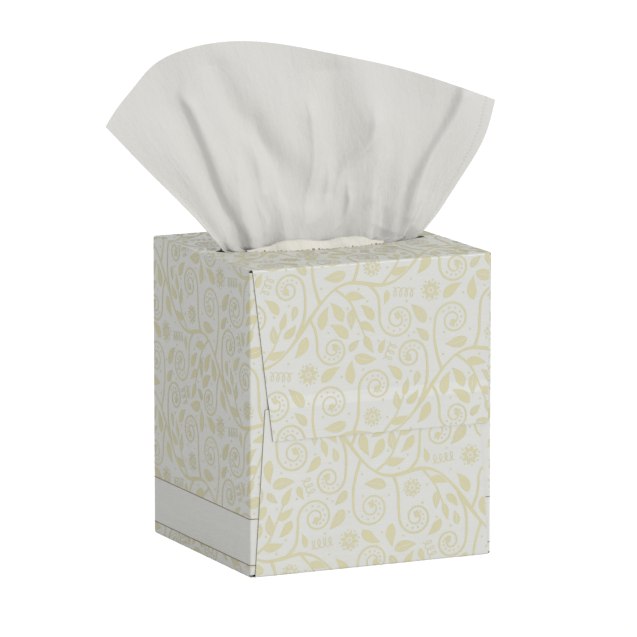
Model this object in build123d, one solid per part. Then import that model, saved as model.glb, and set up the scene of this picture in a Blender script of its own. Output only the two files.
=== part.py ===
from build123d import *
import os

import numpy as np

# A carton of facial tissues with one tissue drawn up through its torn-open top. All lengths are in millimetres.
# The origin is the middle of the carton's base, +Z is up, and the glued end that faces -Y is the front.

# The carton: one blank of thin board, creased, folded and glued
BOX_WIDTH = 113.0
BOX_DEPTH = 103.0
BOX_HEIGHT = 131.0
BOARD = 0.45
GLUE = 0.05
FOLD_RADIUS = 0.9

# Each end is closed by two dust flaps from the sides, then the lower flap, then the upper flap over it
UPPER_FLAP_REACH = 73.3
UPPER_INSET_LEFT = 1.3
UPPER_INSET_RIGHT = 1.1
UPPER_TAPER_LEFT = 9.0
UPPER_TAPER_RIGHT = 0.8
LOWER_FLAP_REACH = 71.4
LOWER_INSET_LEFT = 2.3
LOWER_INSET_RIGHT = 1.2
LOWER_TAPER_LEFT = 4.7
LOWER_TAPER_RIGHT = 5.2
STEP_RAMP = 5.0
DUST_FLAP_REACH = 49.0
DUST_FLAP_GAP = 1.1
DUST_FLAP_TAPER = 9.0
DUST_CORNER_RADIUS = 6.0

# The glued seam of the sleeve, low on the right side
SEAM_LAP = 14.0
SEAM_GAP = 0.3

# The opening that is torn out along its perforation
OPENING_LENGTH = 104.0
OPENING_WIDTH = 27.0
OPENING_END_RADIUS = 2.4
CUT_OVERRUN = 2.0

# The tissues: one width, folded in half and bent over into a clip with two legs
SHEET_WIDTH = 208.0
SHEET = 0.3
SOFT_GAP = 0.35
HEADROOM = 19.05
SLOT_RADIUS = 5.3
CLIP_CROWN = 42.0
CLIP_EDGE_RADIUS = 1.6

# The drawn tissue: its outline above the box, as shares of the sheet's width across and of its rise upwards
FAN_RISE = 89.4
NECK_LEFT = -38.0
NECK_RIGHT = 46.6
NECK_BACK = 3.6
TOP_EDGE_ACROSS_SHARES = (-0.478, -0.377, -0.259, 0.021, 0.18, 0.272, 0.404)
TOP_EDGE_UP_SHARES = (0.631, 0.907, 1.0, 0.923, 0.824, 0.754, 0.64)
LEFT_EDGE_ACROSS_SHARES = (-0.261, -0.36)
LEFT_EDGE_UP_SHARES = (0.18, 0.4)
RIGHT_EDGE_ACROSS_SHARES = (0.3, 0.342, 0.384)
RIGHT_EDGE_UP_SHARES = (0.12, 0.257, 0.45)
GATHERS = 4
GATHER_SWAY_SHARE = 0.35
MOST_FULLNESS = 1.08
FAN_BOW = 7.0

# The room that the sheets have between the clip and the carton, in layers of one sheet and its gap
LAYER = SHEET + SOFT_GAP
LIFT_LIMIT = 4 * LAYER
SIDE_ROOM = 5 * LAYER

# The next tissue stands up in the front of the opening, left of its middle. A sheet comes back to the box's middle as
# it comes to rest, the faster the higher this power is.
NEXT_MIDDLE = -7.0
MIDDLE_FADE = 3

# The rows of each sheet inside the box, from the opening on. Each row gives shares: its place towards the back, of
# half the clip's depth; its height above the crown, of the headroom; its reach each way over the arch, of half the
# sheet's width; how much it rests on the arch, where 1 follows it; and its gathers' depth, of the headroom.
DRAWN_ROW_SHARES = (
    (0.07, 0.9, 0.405, 0.02, 0.17), (0.09, 0.76, 0.42, 0.05, 0.17), (0.15, 0.64, 0.45, 0.12, 0.15),
    (0.24, 0.54, 0.5, 0.22, 0.12), (0.36, 0.4, 0.5, 0.3, 0.06), (0.5, 0.27, 0.51, 0.42, 0.03),
    (0.64, 0.17, 0.51, 0.52, 0.01), (0.78, 0.1, 0.51, 0.6, 0), (0.93, 0.06, 0.51, 0.65, 0),
)
NEXT_ROW_SHARES = (
    (-0.04, 1.585, 0.3, 0.3, 0.03), (-0.1, 1.546, 0.3, 0.3, 0.04), (-0.17, 1.433, 0.31, 0.3, 0.05),
    (-0.25, 1.31, 0.33, 0.32, 0.06), (-0.34, 1.16, 0.36, 0.38, 0.06), (-0.43, 0.99, 0.42, 0.48, 0.05),
    (-0.53, 0.8, 0.5, 0.5, 0.04), (-0.65, 0.58, 0.52, 0.55, 0.03), (-0.78, 0.32, 0.53, 0.6, 0.01),
    (-0.9, 0.07, 0.53, 0.65, 0),
)

# Counts of points that the sheets' surfaces are drawn through, and how near to them a surface passes
ACROSS_POINTS = 25
FAN_ROWS = 6
SPLINE_TOLERANCE = 0.4

half_width = BOX_WIDTH / 2
half_depth = BOX_DEPTH / 2
front_upper = half_depth
front_lower = front_upper - BOARD - GLUE
front_dust = front_lower - BOARD - GLUE
inner_depth = 2 * (front_dust - BOARD)
clip_half_width = half_width - BOARD - SIDE_ROOM
clip_half_depth = inner_depth / 2 - SOFT_GAP
clip_floor = BOARD + SOFT_GAP
clip_height = BOX_HEIGHT - BOARD - HEADROOM
seam_height = BOX_HEIGHT - UPPER_FLAP_REACH


def block(x0, x1, y0, y1, z0, z1):
    """A box between two opposite corners."""
    size = Box(x1 - x0, y1 - y0, z1 - z0)
    return Pos((x0 + x1) / 2, (y0 + y1) / 2, (z0 + z1) / 2) * size


def sleeve():
    """The four panels as one rounded ring along Y, with the inside lap of the glued seam and its line outside."""
    across = BOX_WIDTH - 2 * BOARD
    up = BOX_HEIGHT - 2 * BOARD
    ring = RectangleRounded(BOX_WIDTH, BOX_HEIGHT, FOLD_RADIUS)
    ring -= RectangleRounded(across, up, FOLD_RADIUS - BOARD)
    reach = front_dust - FOLD_RADIUS
    body = extrude(Plane.XZ * Pos(0, BOX_HEIGHT / 2) * ring, amount=reach, both=True)
    wall = half_width - BOARD
    seam = FOLD_RADIUS + SEAM_GAP
    lap = block(wall - BOARD, wall, -reach, reach, seam - SEAM_GAP / 2, SEAM_LAP)
    slit = block(wall + BOARD / 2, half_width + CUT_OVERRUN, -reach, reach, seam, seam + SEAM_GAP)
    return body + lap - slit


def fold(radius_out, toward):
    """A quarter of a ring of board, seen along its crease, in the quadrant that the two signs of toward name."""
    ring = Circle(radius_out) - Circle(radius_out - BOARD)
    corner = Pos(toward[0] * radius_out / 2, toward[1] * radius_out / 2) * Rectangle(radius_out, radius_out)
    return ring & corner


def dust_flap(side):
    """A front dust flap: side is -1 for the one from the left panel and 1 for the one from the right panel."""
    crease = side * (half_width - FOLD_RADIUS)
    free = side * (half_width - DUST_FLAP_REACH)
    bend = Pos(crease, -front_dust + FOLD_RADIUS) * fold(FOLD_RADIUS, (side, -1))
    plate = Pos((crease + free) / 2, -front_dust + BOARD / 2) * Rectangle(abs(crease - free), BOARD)
    section = extrude(bend + plate, amount=BOX_HEIGHT)
    low = DUST_FLAP_GAP
    high = BOX_HEIGHT - DUST_FLAP_GAP
    edge = side * (half_width + CUT_OVERRUN)
    outline = Polygon(
        (edge, low), (crease, low), (free, low + DUST_FLAP_TAPER),
        (free, high - DUST_FLAP_TAPER), (crease, high), (edge, high), align=None,
    )
    tips = outline.vertices().filter_by(lambda v: abs(v.X - free) < BOARD)
    outline = fillet(tips, DUST_CORNER_RADIUS)
    return section & extrude(Plane.XZ * outline, amount=half_depth + CUT_OVERRUN, both=True)


def major_flap(section, low, high, insets, tapers):
    """A front flap of the full width: a section in YZ, trimmed to an outline that narrows from its crease at high."""
    body = extrude(Plane.YZ * section, amount=half_width, both=True)
    over = CUT_OVERRUN * (1 if high > low else -1)
    outline = Polygon(
        (-half_width + insets[0], high + over), (-half_width + insets[0], high),
        (-half_width + insets[0] + tapers[0], low), (half_width - insets[1] - tapers[1], low),
        (half_width - insets[1], high), (half_width - insets[1], high + over), align=None,
    )
    return body & extrude(Plane.XZ * outline, amount=half_depth + CUT_OVERRUN, both=True)


def lower_flap():
    """The flap that comes up from the bottom panel, flat against the dust flaps."""
    start = front_dust - FOLD_RADIUS
    crease = front_lower - FOLD_RADIUS
    strip = Pos(-(start + crease) / 2, BOARD / 2) * Rectangle(crease - start, BOARD)
    bend = Pos(-crease, FOLD_RADIUS) * fold(FOLD_RADIUS, (-1, -1))
    rise = LOWER_FLAP_REACH - FOLD_RADIUS
    plate = Pos(-front_lower + BOARD / 2, FOLD_RADIUS + rise / 2) * Rectangle(BOARD, rise)
    insets = (LOWER_INSET_LEFT, LOWER_INSET_RIGHT)
    tapers = (LOWER_TAPER_LEFT, LOWER_TAPER_RIGHT)
    return major_flap(strip + bend + plate, LOWER_FLAP_REACH, 0, insets, tapers)


def upper_flap():
    """The flap that comes down from the top panel and steps out over the lower flap, to which it is glued."""
    start = front_dust - FOLD_RADIUS
    crease = front_lower - FOLD_RADIUS
    strip = Pos(-(start + crease) / 2, BOX_HEIGHT - BOARD / 2) * Rectangle(crease - start, BOARD)
    bend = Pos(-crease, BOX_HEIGHT - FOLD_RADIUS) * fold(FOLD_RADIUS, (-1, 1))
    ramp_top = LOWER_FLAP_REACH + STEP_RAMP
    step = LOWER_FLAP_REACH + GLUE
    plate = Polygon(
        (-front_lower, BOX_HEIGHT - FOLD_RADIUS), (-front_lower, ramp_top),
        (-front_upper, step), (-front_upper, seam_height),
        (BOARD - front_upper, seam_height), (BOARD - front_upper, step),
        (BOARD - front_lower, ramp_top), (BOARD - front_lower, BOX_HEIGHT - FOLD_RADIUS), align=None,
    )
    insets = (UPPER_INSET_LEFT, UPPER_INSET_RIGHT)
    tapers = (UPPER_TAPER_LEFT, UPPER_TAPER_RIGHT)
    return major_flap(strip + bend + plate, seam_height, BOX_HEIGHT, insets, tapers)


def opening():
    """The torn-out lens in the top panel: two arcs that meet at rounded ends, cut right through the board."""
    long = OPENING_LENGTH / 2
    wide = OPENING_WIDTH / 2
    radius = (long**2 + wide**2) / (2 * wide)
    lens = (Pos(0, radius - wide) * Circle(radius)) & (Pos(0, wide - radius) * Circle(radius))
    lens = fillet(lens.vertices(), OPENING_END_RADIUS)
    return extrude(Pos(0, 0, BOX_HEIGHT - BOARD - CUT_OVERRUN) * lens, amount=BOARD + 2 * CUT_OVERRUN)


def carton():
    """The sleeve with both ends closed. The back end is the front one mirrored."""
    end = dust_flap(-1) + dust_flap(1) + lower_flap() + upper_flap()
    return sleeve() + end + mirror(end, Plane.XZ) - opening()


def tissue_clip():
    """The interfolded stack, bent over into two legs: a crowned arch outside, a narrow slot between the legs."""
    shoulder = clip_height - CLIP_CROWN
    legs = Pos(0, (clip_floor + shoulder) / 2) * Rectangle(2 * clip_half_width, shoulder - clip_floor)
    crown = Pos(0, shoulder) * Ellipse(clip_half_width, CLIP_CROWN)
    above = Pos(0, shoulder + CLIP_CROWN / 2) * Rectangle(2 * clip_half_width, CLIP_CROWN)
    slot_top = clip_height - clip_half_width + SLOT_RADIUS
    slot_middle = slot_top - SLOT_RADIUS
    slot = Pos(0, slot_middle) * Circle(SLOT_RADIUS)
    slot += Pos(0, slot_middle / 2) * Rectangle(2 * SLOT_RADIUS, slot_middle)
    outline = legs + (crown & above) - slot
    body = extrude(Plane.XZ * outline, amount=clip_half_depth, both=True)
    ends = body.faces().filter_by(Axis.Y)
    return fillet(ends.edges().filter_by(lambda e: e.center().Z > slot_top), CLIP_EDGE_RADIUS)


def arch(along):
    """Arrays of the points of the clip's outside at lengths along it from the crown, and their outward normals."""
    turn = np.linspace(0, np.pi / 2, 721)
    x = clip_half_width * np.sin(turn)
    z = clip_height - CLIP_CROWN + CLIP_CROWN * np.cos(turn)
    length = np.concatenate([[0], np.cumsum(np.hypot(np.diff(x), np.diff(z)))])
    far = np.abs(along)
    side = np.sign(along)
    angle = np.interp(far, length, turn)
    nx = np.sin(angle) / clip_half_width
    nz = np.cos(angle) / CLIP_CROWN
    size = np.hypot(nx, nz)
    down = np.maximum(far - length[-1], 0)
    place = (side * np.interp(far, length, x), np.interp(far, length, z) - down)
    return *place, side * nx / size, nz / size


def thin_solid(points):
    """A sheet through a grid of points: two splined faces, half its thickness to each side, and its edges."""
    along = np.gradient(points, axis=0)
    across = np.gradient(points, axis=1)
    normal = np.cross(along, across)
    normal /= np.linalg.norm(normal, axis=2, keepdims=True)
    faces = []
    for side in (SHEET / 2, -SHEET / 2):
        moved = points + side * normal
        grid = [[Vector(*point) for point in row] for row in moved.tolist()]
        faces.append(Face.make_surface_from_array_of_points(grid, tol=SPLINE_TOLERANCE, min_deg=3, max_deg=3))
    rims = []
    for edge in faces[0].edges():
        other = min(faces[1].edges(), key=lambda e: (e.center() - edge.center()).length)
        rims.append(Face.make_surface_from_curves(edge, other))
    return Solid(Shell(faces + rims))


def gathers(s):
    """The wave of the gathers across a sheet, from -1 to 1 for s from 0 to 1, with folds of uneven width."""
    sway = GATHER_SWAY_SHARE * np.sin(2 * np.pi * s)
    return np.sin(2 * np.pi * GATHERS * s + sway * GATHERS / 2)


def fan(s, t):
    """The drawn tissue above the box: a patch between its neck and its top edge, waved to keep its width."""
    up = BOX_HEIGHT + FAN_RISE * np.array(TOP_EDGE_UP_SHARES)
    top = Spline(*[(SHEET_WIDTH * x, 0, z) for x, z in zip(TOP_EDGE_ACROSS_SHARES, up)])
    sides = []
    for foot, tip, xs, zs in (
        (NECK_LEFT, top @ 0, LEFT_EDGE_ACROSS_SHARES, LEFT_EDGE_UP_SHARES),
        (NECK_RIGHT, top @ 1, RIGHT_EDGE_ACROSS_SHARES, RIGHT_EDGE_UP_SHARES),
    ):
        middle = [(SHEET_WIDTH * x, 0, BOX_HEIGHT + FAN_RISE * z) for x, z in zip(xs, zs)]
        sides.append(Spline((foot, 0, BOX_HEIGHT), *middle, tip))
    high = np.array([tuple(top @ float(u)) for u in s])[None]
    left, right = (np.array([tuple(side @ float(u)) for u in t])[:, None] for side in sides)
    low = np.zeros_like(high)
    low[0, :, 0] = NECK_LEFT + (NECK_RIGHT - NECK_LEFT) * s
    low[0, :, 2] = BOX_HEIGHT
    u = s[None, :, None]
    v = t[:, None, None]
    level = (1 - v) * low + v * high
    flat = level + (1 - u) * (left - level[:, :1]) + u * (right - level[:, -1:])
    steps = np.diff(flat, axis=1)
    wide = np.linalg.norm(steps, axis=2).sum(1)[:, None]
    fullness = np.minimum(SHEET_WIDTH / wide, MOST_FULLNESS)
    depth = wide / (np.pi * GATHERS) * np.sqrt(np.maximum(fullness - 1, 0))
    x = flat[:, :, 0]
    room = np.maximum(lens_share(x), np.minimum(3 * t[:, None], 1))
    bow = FAN_BOW * t[:, None] ** 2 * (x / SHEET_WIDTH) ** 2
    flat[:, :, 1] = (NECK_BACK + depth * gathers(s)) * room + bow
    return flat


def lens_share(x):
    """How wide the opening is at x, as a share of its width at the middle."""
    return np.clip(1 - (2 * x / OPENING_LENGTH) ** 2, 0, 1)


def inside_row(s, y, above, reach, rest, wave, slope, middle):
    """One row of a sheet inside the box, at a height above the crown. It reaches along the arch to each side, and
    rest says how far it follows the arch and how far it stays level. Its wave is square to the sheet's slope in YZ."""
    x, floor, nx, nz = arch(reach * (2 * s - 1))
    raised = min(above, LIFT_LIMIT)
    x = x + nx * raised + (1 - rest) ** MIDDLE_FADE * middle
    level = rest * (floor + nz * raised) + (1 - rest) * (clip_height + above)
    pinch = rest + (1 - rest) * lens_share(x)
    depth = wave * gathers(s) * pinch
    return np.stack([x, y * pinch - slope[1] * depth, level + slope[0] * depth], axis=1)


def inside(s, rows, middle):
    """All rows of a sheet inside the box, each given as y, height above the crown, reach, rest and wave."""
    rows = np.array(rows)
    slope = np.gradient(rows[:, :2], axis=0)
    slope /= np.linalg.norm(slope, axis=1, keepdims=True)
    return np.array([inside_row(s, *row, turn, middle) for row, turn in zip(rows, slope)])


def lifted_rows(shares):
    """Rows off the clip, from their shares, in millimetres."""
    half_sheet = SHEET_WIDTH / 2
    return [
        (back * clip_half_depth, up * HEADROOM, reach * half_sheet, rest, wave * HEADROOM)
        for back, up, reach, rest, wave in shares
    ]


def pulled_tissue():
    """The drawn tissue: the fan above the box, its neck, and the part inside that spreads back over the clip."""
    s = np.linspace(0, 1, ACROSS_POINTS)
    above = fan(s, np.linspace(1, 0, FAN_ROWS))
    below = inside(s, lifted_rows(DRAWN_ROW_SHARES), (NECK_LEFT + NECK_RIGHT) / 2)
    return thin_solid(np.concatenate([above, below]))


def next_tissue():
    """The tissue under it: up in the front of the opening, and down over the front of the clip."""
    s = np.linspace(0, 1, ACROSS_POINTS)
    return thin_solid(inside(s, lifted_rows(NEXT_ROW_SHARES), NEXT_MIDDLE))


os.makedirs("parts", exist_ok=True)
for node, shape in {
    "carton": carton(),
    "tissue_clip": tissue_clip(),
    "next_tissue": next_tissue(),
    "pulled_tissue": pulled_tissue(),
}.items():
    export_step(shape, f"parts/{node}.step")
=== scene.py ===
# %% [markdown]
# # A tissue box, dressed for its portrait
# The folded carton and the stack of tissues come from the measured model and stay as they are. This lesson
# adds what the model leaves out: the varnished board, the fine scrollwork print, the band near the foot,
# the torn perforation and the soft sheets that stand in the opening.

import bpy
import numpy as np
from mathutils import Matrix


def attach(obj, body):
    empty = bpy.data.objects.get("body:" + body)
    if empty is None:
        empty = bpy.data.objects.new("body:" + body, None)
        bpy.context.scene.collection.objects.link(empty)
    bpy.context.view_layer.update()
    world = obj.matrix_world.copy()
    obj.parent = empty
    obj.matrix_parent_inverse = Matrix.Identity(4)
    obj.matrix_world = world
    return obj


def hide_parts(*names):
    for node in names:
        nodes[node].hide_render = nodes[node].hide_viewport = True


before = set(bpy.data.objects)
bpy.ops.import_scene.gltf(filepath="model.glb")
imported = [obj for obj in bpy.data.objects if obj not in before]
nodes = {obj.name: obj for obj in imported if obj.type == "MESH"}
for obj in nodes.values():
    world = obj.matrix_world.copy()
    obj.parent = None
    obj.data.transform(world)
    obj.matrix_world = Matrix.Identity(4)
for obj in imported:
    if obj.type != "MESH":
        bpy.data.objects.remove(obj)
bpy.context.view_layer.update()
print("nodes:", sorted(nodes))

# %% [markdown]
# ## The carton's sizes
# The print has to lie on the board, so the few sizes that the board was folded to are repeated here, in
# millimetres. Everything is worked out in millimetres and turned into metres only when it becomes a mesh.

# %% The sizes of the carton
MM = 0.001
WIDTH, DEPTH, HEIGHT = 113.0, 103.0, 131.0
BOARD, GLUE, FOLD = 0.45, 0.05, 0.9
FRONT_UPPER = DEPTH / 2
FRONT_LOWER = FRONT_UPPER - BOARD - GLUE
FRONT_DUST = FRONT_LOWER - BOARD - GLUE
UPPER_REACH, LOWER_REACH = 73.3, 71.4
SEAM_HEIGHT = HEIGHT - UPPER_REACH
# How far a flap's edges start from the carton's left and right sides at its crease, and how far they slant in
UPPER_INSETS, UPPER_TAPERS = (1.3, 1.1), (9.0, 0.8)
LOWER_INSETS, LOWER_TAPERS = (2.3, 1.2), (4.7, 5.2)
RAMP = 5.0
OPENING_LONG, OPENING_WIDE = 52.0, 13.5  # half the opening's length and half its width
ARC = FOLD * np.pi / 2
MIDDLE = np.array([0, 0, HEIGHT / 2])
seed = np.random.default_rng(5)
print("front faces at", FRONT_UPPER, FRONT_LOWER, FRONT_DUST)

# %% [markdown]
# ## Surfaces from grids
# Every new piece is a grid of points, and a grid needs only one rule to become a mesh: each point joins its
# neighbours in four-sided faces. Handing whole arrays to the mesh is much quicker than adding points one at
# a time.


# %% A mesh from arrays
def surface(name, points, faces, finish, smooth=True):
    """A mesh object from an N by 3 array of points in millimetres and an M by 4 array of their numbers."""
    mesh = bpy.data.meshes.new(name)
    mesh.vertices.add(len(points))
    mesh.vertices.foreach_set("co", (np.asarray(points) * MM).astype(np.float32).ravel())
    mesh.loops.add(faces.size)
    mesh.loops.foreach_set("vertex_index", faces.astype(np.int32).ravel())
    mesh.polygons.add(len(faces))
    mesh.polygons.foreach_set("loop_start", np.arange(0, faces.size, 4, dtype=np.int32))
    mesh.polygons.foreach_set("use_smooth", np.full(len(faces), smooth))
    mesh.update(calc_edges=True)
    mesh.validate()
    mesh.materials.append(finish)
    piece = bpy.data.objects.new(name, mesh)
    bpy.context.scene.collection.objects.link(piece)
    print(name, len(points), "points,", len(faces), "faces")
    return piece


def grid_faces(rows, columns):
    """The four-sided faces of a grid: each joins a point to the next in its row and to the two in the
    row after."""
    corner = np.arange((rows - 1) * columns).reshape(rows - 1, columns)[:, :-1].ravel()
    return np.stack([corner, corner + 1, corner + columns + 1, corner + columns], axis=1)


# %% [markdown]
# ## Shader maths in plain expressions
# A finish is a small calculation: noise here, a mask there, one mixed over the other. A wrapped socket lets
# such a calculation be written the way it would be on paper.


# %% A socket that can be added, subtracted and multiplied
class Wire:
    """A shader value. + - and * add a Math node, and a plain number may stand on either side."""

    def __init__(self, finish, socket):
        self.finish, self.socket = finish, socket

    def maths(self, operation, a, b=0.0):
        """A Math node on two values."""
        return self.finish.node("ShaderNodeMath", {"operation": operation}, {0: a, 1: b})

    def __add__(self, other):
        return self.maths("ADD", self, other)

    def __radd__(self, other):
        return self.maths("ADD", other, self)

    def __sub__(self, other):
        return self.maths("SUBTRACT", self, other)

    def __rsub__(self, other):
        return self.maths("SUBTRACT", other, self)

    def __mul__(self, other):
        return self.maths("MULTIPLY", self, other)

    def __rmul__(self, other):
        return self.maths("MULTIPLY", other, self)

    def above(self, level):
        """1 where the value is over the level, and 0 elsewhere."""
        return self.maths("GREATER_THAN", self, level)

    def size(self):
        """The value without its sign."""
        return self.maths("ABSOLUTE", self)


class Finish:
    """A material, with one method that adds any node, sets it, and joins its inputs."""

    def __init__(self, name):
        self.material = bpy.data.materials.new(name)
        self.material.use_nodes = True
        self.tree = self.material.node_tree
        self.shader = self.tree.nodes["Principled BSDF"]

    def node(self, kind, settings, inputs, output=0):
        """Adds a node of a kind, sets it, joins or fills its inputs, and gives one of its outputs."""
        made = self.tree.nodes.new(kind)
        for key, value in settings.items():
            setattr(made, key, value)
        for key, value in inputs.items():
            self.join(made.inputs[key], value)
        return Wire(self, made.outputs[output])

    def join(self, socket, value):
        """Links a wire to a socket, or writes a plain value into it."""
        if isinstance(value, Wire):
            self.tree.links.new(value.socket, socket)
        else:
            socket.default_value = value

    def give(self, **inputs):
        """Sets the main shader's own inputs, where an underscore stands for a space."""
        for key, value in inputs.items():
            self.join(self.shader.inputs[key.replace("_", " ")], value)
        return self

    def place(self):
        """The point of the surface, in the object's own metres."""
        return self.node("ShaderNodeTexCoord", {}, {}, "Object")

    def apart(self, vector):
        """The three numbers of a vector."""
        made = self.node("ShaderNodeSeparateXYZ", {}, {0: vector})
        return [Wire(self, socket) for socket in made.socket.node.outputs]

    def stretched(self, vector, scale):
        """A point with each of its numbers multiplied, which squeezes a pattern along that axis."""
        return self.node("ShaderNodeMapping", {}, {"Vector": vector, "Scale": scale})

    def noise(self, vector, scale, detail, rough=0.55):
        """A cloudy value from 0 to 1, with a number of lumps to the metre."""
        inputs = {"Vector": vector, "Scale": scale, "Detail": detail, "Roughness": rough}
        return self.node("ShaderNodeTexNoise", {}, inputs)

    def mix(self, share, low, high):
        """A colour between two colours."""
        return self.node("ShaderNodeMix", {"data_type": "RGBA"}, {0: share, 6: low, 7: high}, 2)

    def bump(self, height, distance, strength, over=None):
        """A tilt of the surface from a height map, on top of another bump if one is given."""
        inputs = {"Height": height, "Distance": distance, "Strength": strength}
        if over is not None:
            inputs["Normal"] = over
        return self.node("ShaderNodeBump", {}, inputs)


def colour(red, green, blue):
    """The shader's linear colour of a colour that is written as it looks on a screen, from 0 to 255."""
    seen = np.array([red, green, blue]) / 255
    linear = np.where(seen <= 0.04045, seen / 12.92, ((seen + 0.055) / 1.055) ** 2.4)
    return (*linear.tolist(), 1.0)


# %% [markdown]
# ## The board
# Carton board is white and varnished outside and grey-brown inside, and its cut edges show the grey. The
# outside is known by where it lies and which way it faces. Fine level streaks in the white are painted sheen,
# and the same streaks also vary its gloss and tilt a little.

# %% Where the board is printed and where it is bare
# How far inside the end faces and the other faces the board still counts as its outside
SLACK, SKIN = 0.06, 0.2
TILTED = 0.05  # a face leans if the part of its direction along an axis is over this


def board_finish():
    """Varnished white outside with level streaks of painted sheen, and raw grey-brown on the inside and on
    each cut edge.
    """
    board = Finish("varnished_board")
    at = board.place()
    x, y, z = board.apart(at)
    facing = board.node("ShaderNodeNewGeometry", {}, {}, "Normal")
    nx, ny, nz = board.apart(facing)
    on_end = y.size().above((FRONT_DUST - SLACK) * MM)
    end_outside = on_end * (y * ny).above(0.0) * ny.size().above(0.6)
    side_outside = x.size().above((WIDTH / 2 - SKIN) * MM) * (x * nx).above(0.0)
    top_outside = z.above((HEIGHT - SKIN) * MM) * nz.above(0.3)
    foot_outside = (SKIN * MM - z).above(0.0) * (0.0 - nz).above(0.3)
    near_side = x.size().above((WIDTH / 2 - FOLD) * MM) * (x * nx).above(0.0)
    long_creases = near_side * nz.size().above(TILTED) * nx.size().above(TILTED)
    end_creases = on_end * ny.size().above(TILTED) * nz.size().above(TILTED) * (y * ny).above(0.0)
    upright_creases = near_side * y.size().above((FRONT_DUST - FOLD) * MM) * (y * ny).above(0.0)
    flats = end_outside + side_outside + top_outside + foot_outside
    printed = (flats + long_creases + end_creases + upright_creases).above(0.5)
    cloud = board.noise(at, 34.0, 3.0)
    sheen_streak = board.noise(board.stretched(at, (12.0, 12.0, 900.0)), 1.0, 2.0)
    fibre = board.noise(at, 2400.0, 2.0)
    # The level streaks in this white are painted sheen; the cloud is the board's own uneven tone.
    white = board.mix(cloud * 0.5 + sheen_streak * 0.5, colour(212, 213, 208), colour(226, 227, 223))
    raw = board.mix(fibre, colour(140, 128, 108), colour(178, 168, 146))
    board.give(Base_Color=board.mix(printed, raw, white))
    board.give(Roughness=0.92 - printed * (0.54 + sheen_streak * 0.18))
    swell = board.noise(board.stretched(at, (9.0, 9.0, 62.0)), 1.0, 3.0)
    soft = board.bump(cloud * 0.3 + swell * 0.7, 0.0011, 0.35)
    board.give(Normal=board.bump(sheen_streak * 0.7 + fibre * 0.3, 0.00008, 0.45, soft), Specular_IOR_Level=0.5)
    return board.material


nodes["carton"].data.materials.clear()
nodes["carton"].data.materials.append(board_finish())
print("the carton has its board")

# %% [markdown]
# ## The stack of tissues
# Where the stack is seen through the opening it shows the edges of its sheets, as fine uneven lines that
# run along the length of the box. A stretched noise gives them, and a bump lifts them a little.

# %% The finish of the stack
def stack_finish():
    """White tissue, with the thin lines of many sheet edges."""
    stack = Finish("tissue_stack")
    at = stack.place()
    lines = stack.noise(stack.stretched(at, (1400.0, 30.0, 1400.0)), 1.0, 3.0)
    fibre = stack.noise(at, 1800.0, 3.0)
    stack.give(Base_Color=stack.mix(lines, colour(196, 195, 188), colour(222, 221, 215)), Roughness=0.95)
    stack.give(Normal=stack.bump(lines + fibre * 0.4, 0.0003, 0.8))
    return stack.material


nodes["tissue_clip"].data.materials.clear()
nodes["tissue_clip"].data.materials.append(stack_finish())
print("the stack has its sheet edges")

# %% [markdown]
# ## One tile of scrollwork
# The print repeats, as such prints do. It is drawn once as flat strokes on a tile, and each stroke is a
# line with a half width at each point: a stem tapers, a leaf swells and closes, and a dot is a leaf as wide
# as it is long. The tiles are set like bricks, each column half a tile higher than the one before, so that
# the repeat doesn't show.


# %% Strokes
TILE_WIDE, TILE_HIGH = 57.0, 64.0
FINE = 0.45
strokes = []


def stroke(path, half):
    """A band along a path of points: each point is moved square to the path, by shares of its half width."""
    path = np.asarray(path, float)
    ahead = np.gradient(path, axis=0)
    ahead /= np.linalg.norm(ahead, axis=1, keepdims=True) + 1e-9
    square = np.stack([-ahead[:, 1], ahead[:, 0]], axis=1)
    across = max(2, int(np.ceil(2 * np.max(half) / FINE)) + 1)
    share = np.linspace(-1, 1, across)
    aside = np.broadcast_to(half, len(path))[:, None] * share
    strokes.append(path[:, None] + square[:, None] * aside[..., None])


def even(path, step=FINE):
    """The same path with points at even steps along it."""
    path = np.asarray(path, float)
    far = np.concatenate([[0], np.cumsum(np.linalg.norm(np.diff(path, axis=0), axis=1))])
    count = max(4, int(far[-1] / step) + 1)
    at = np.linspace(0, far[-1], count)
    return np.stack([np.interp(at, far, path[:, 0]), np.interp(at, far, path[:, 1])], axis=1)


def turned(path, turn):
    """A path turned round the origin: each point's two numbers are mixed by the cosine and the sine."""
    c, s = np.cos(turn), np.sin(turn)
    return np.stack([c * path[:, 0] - s * path[:, 1], s * path[:, 0] + c * path[:, 1]], axis=1)


def leaf(x, y, angle, long, wide, bend, slit=False):
    """A leaf from its foot: its midrib bends most at the tip, and its half width is a sine, fullest near
    the foot."""
    along = np.linspace(0, 1, max(5, int(long / FINE)))
    turn = np.radians(angle)
    rib = turned(np.stack([long * along, long * bend * along**2.5], axis=1), turn) + (x, y)
    half = wide / 2 * np.sin(np.pi * along**0.8) * (1 - 0.25 * along)
    if not slit:
        stroke(rib, half)
        return
    side = np.array([-np.sin(turn), np.cos(turn)])
    for sign in (1, -1):
        open_up = sign * (half / 2 + 0.16 * np.sin(np.pi * along) + 0.05)
        stroke(rib + side * open_up[:, None], half / 2)


def dot(x, y, wide):
    """A dot: half its width is the half chord of a circle at each step across it."""
    along = np.linspace(-1, 1, 7)
    path = np.stack([x + wide / 2 * along, np.full(7, y)], axis=1)
    stroke(path, wide / 2 * np.sqrt(np.clip(1 - along**2, 0, 1)))


def spiral(x, y, radius, start, turns, hand):
    """An inward spiral with a ball at its end, and a row of dots inside its outer turn: the radius
    shrinks as a power of the turn, and the line narrows with it."""

    def at(along, inset=0.0):
        angle = np.radians(start) + hand * 2 * np.pi * turns * along
        away = radius * (1 - 0.86 * along**0.85) - inset
        return np.stack([x + away * np.cos(angle), y + away * np.sin(angle)], axis=-1)

    path = even(at(np.linspace(0, 1, 220)))
    stroke(path, np.linspace(0.5, 0.34, len(path)))
    dot(*path[-1], 2.6)
    for place in at(np.arange(0.06, 0.52, 0.052), 2.1):
        dot(*place, 1.0)


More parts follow.
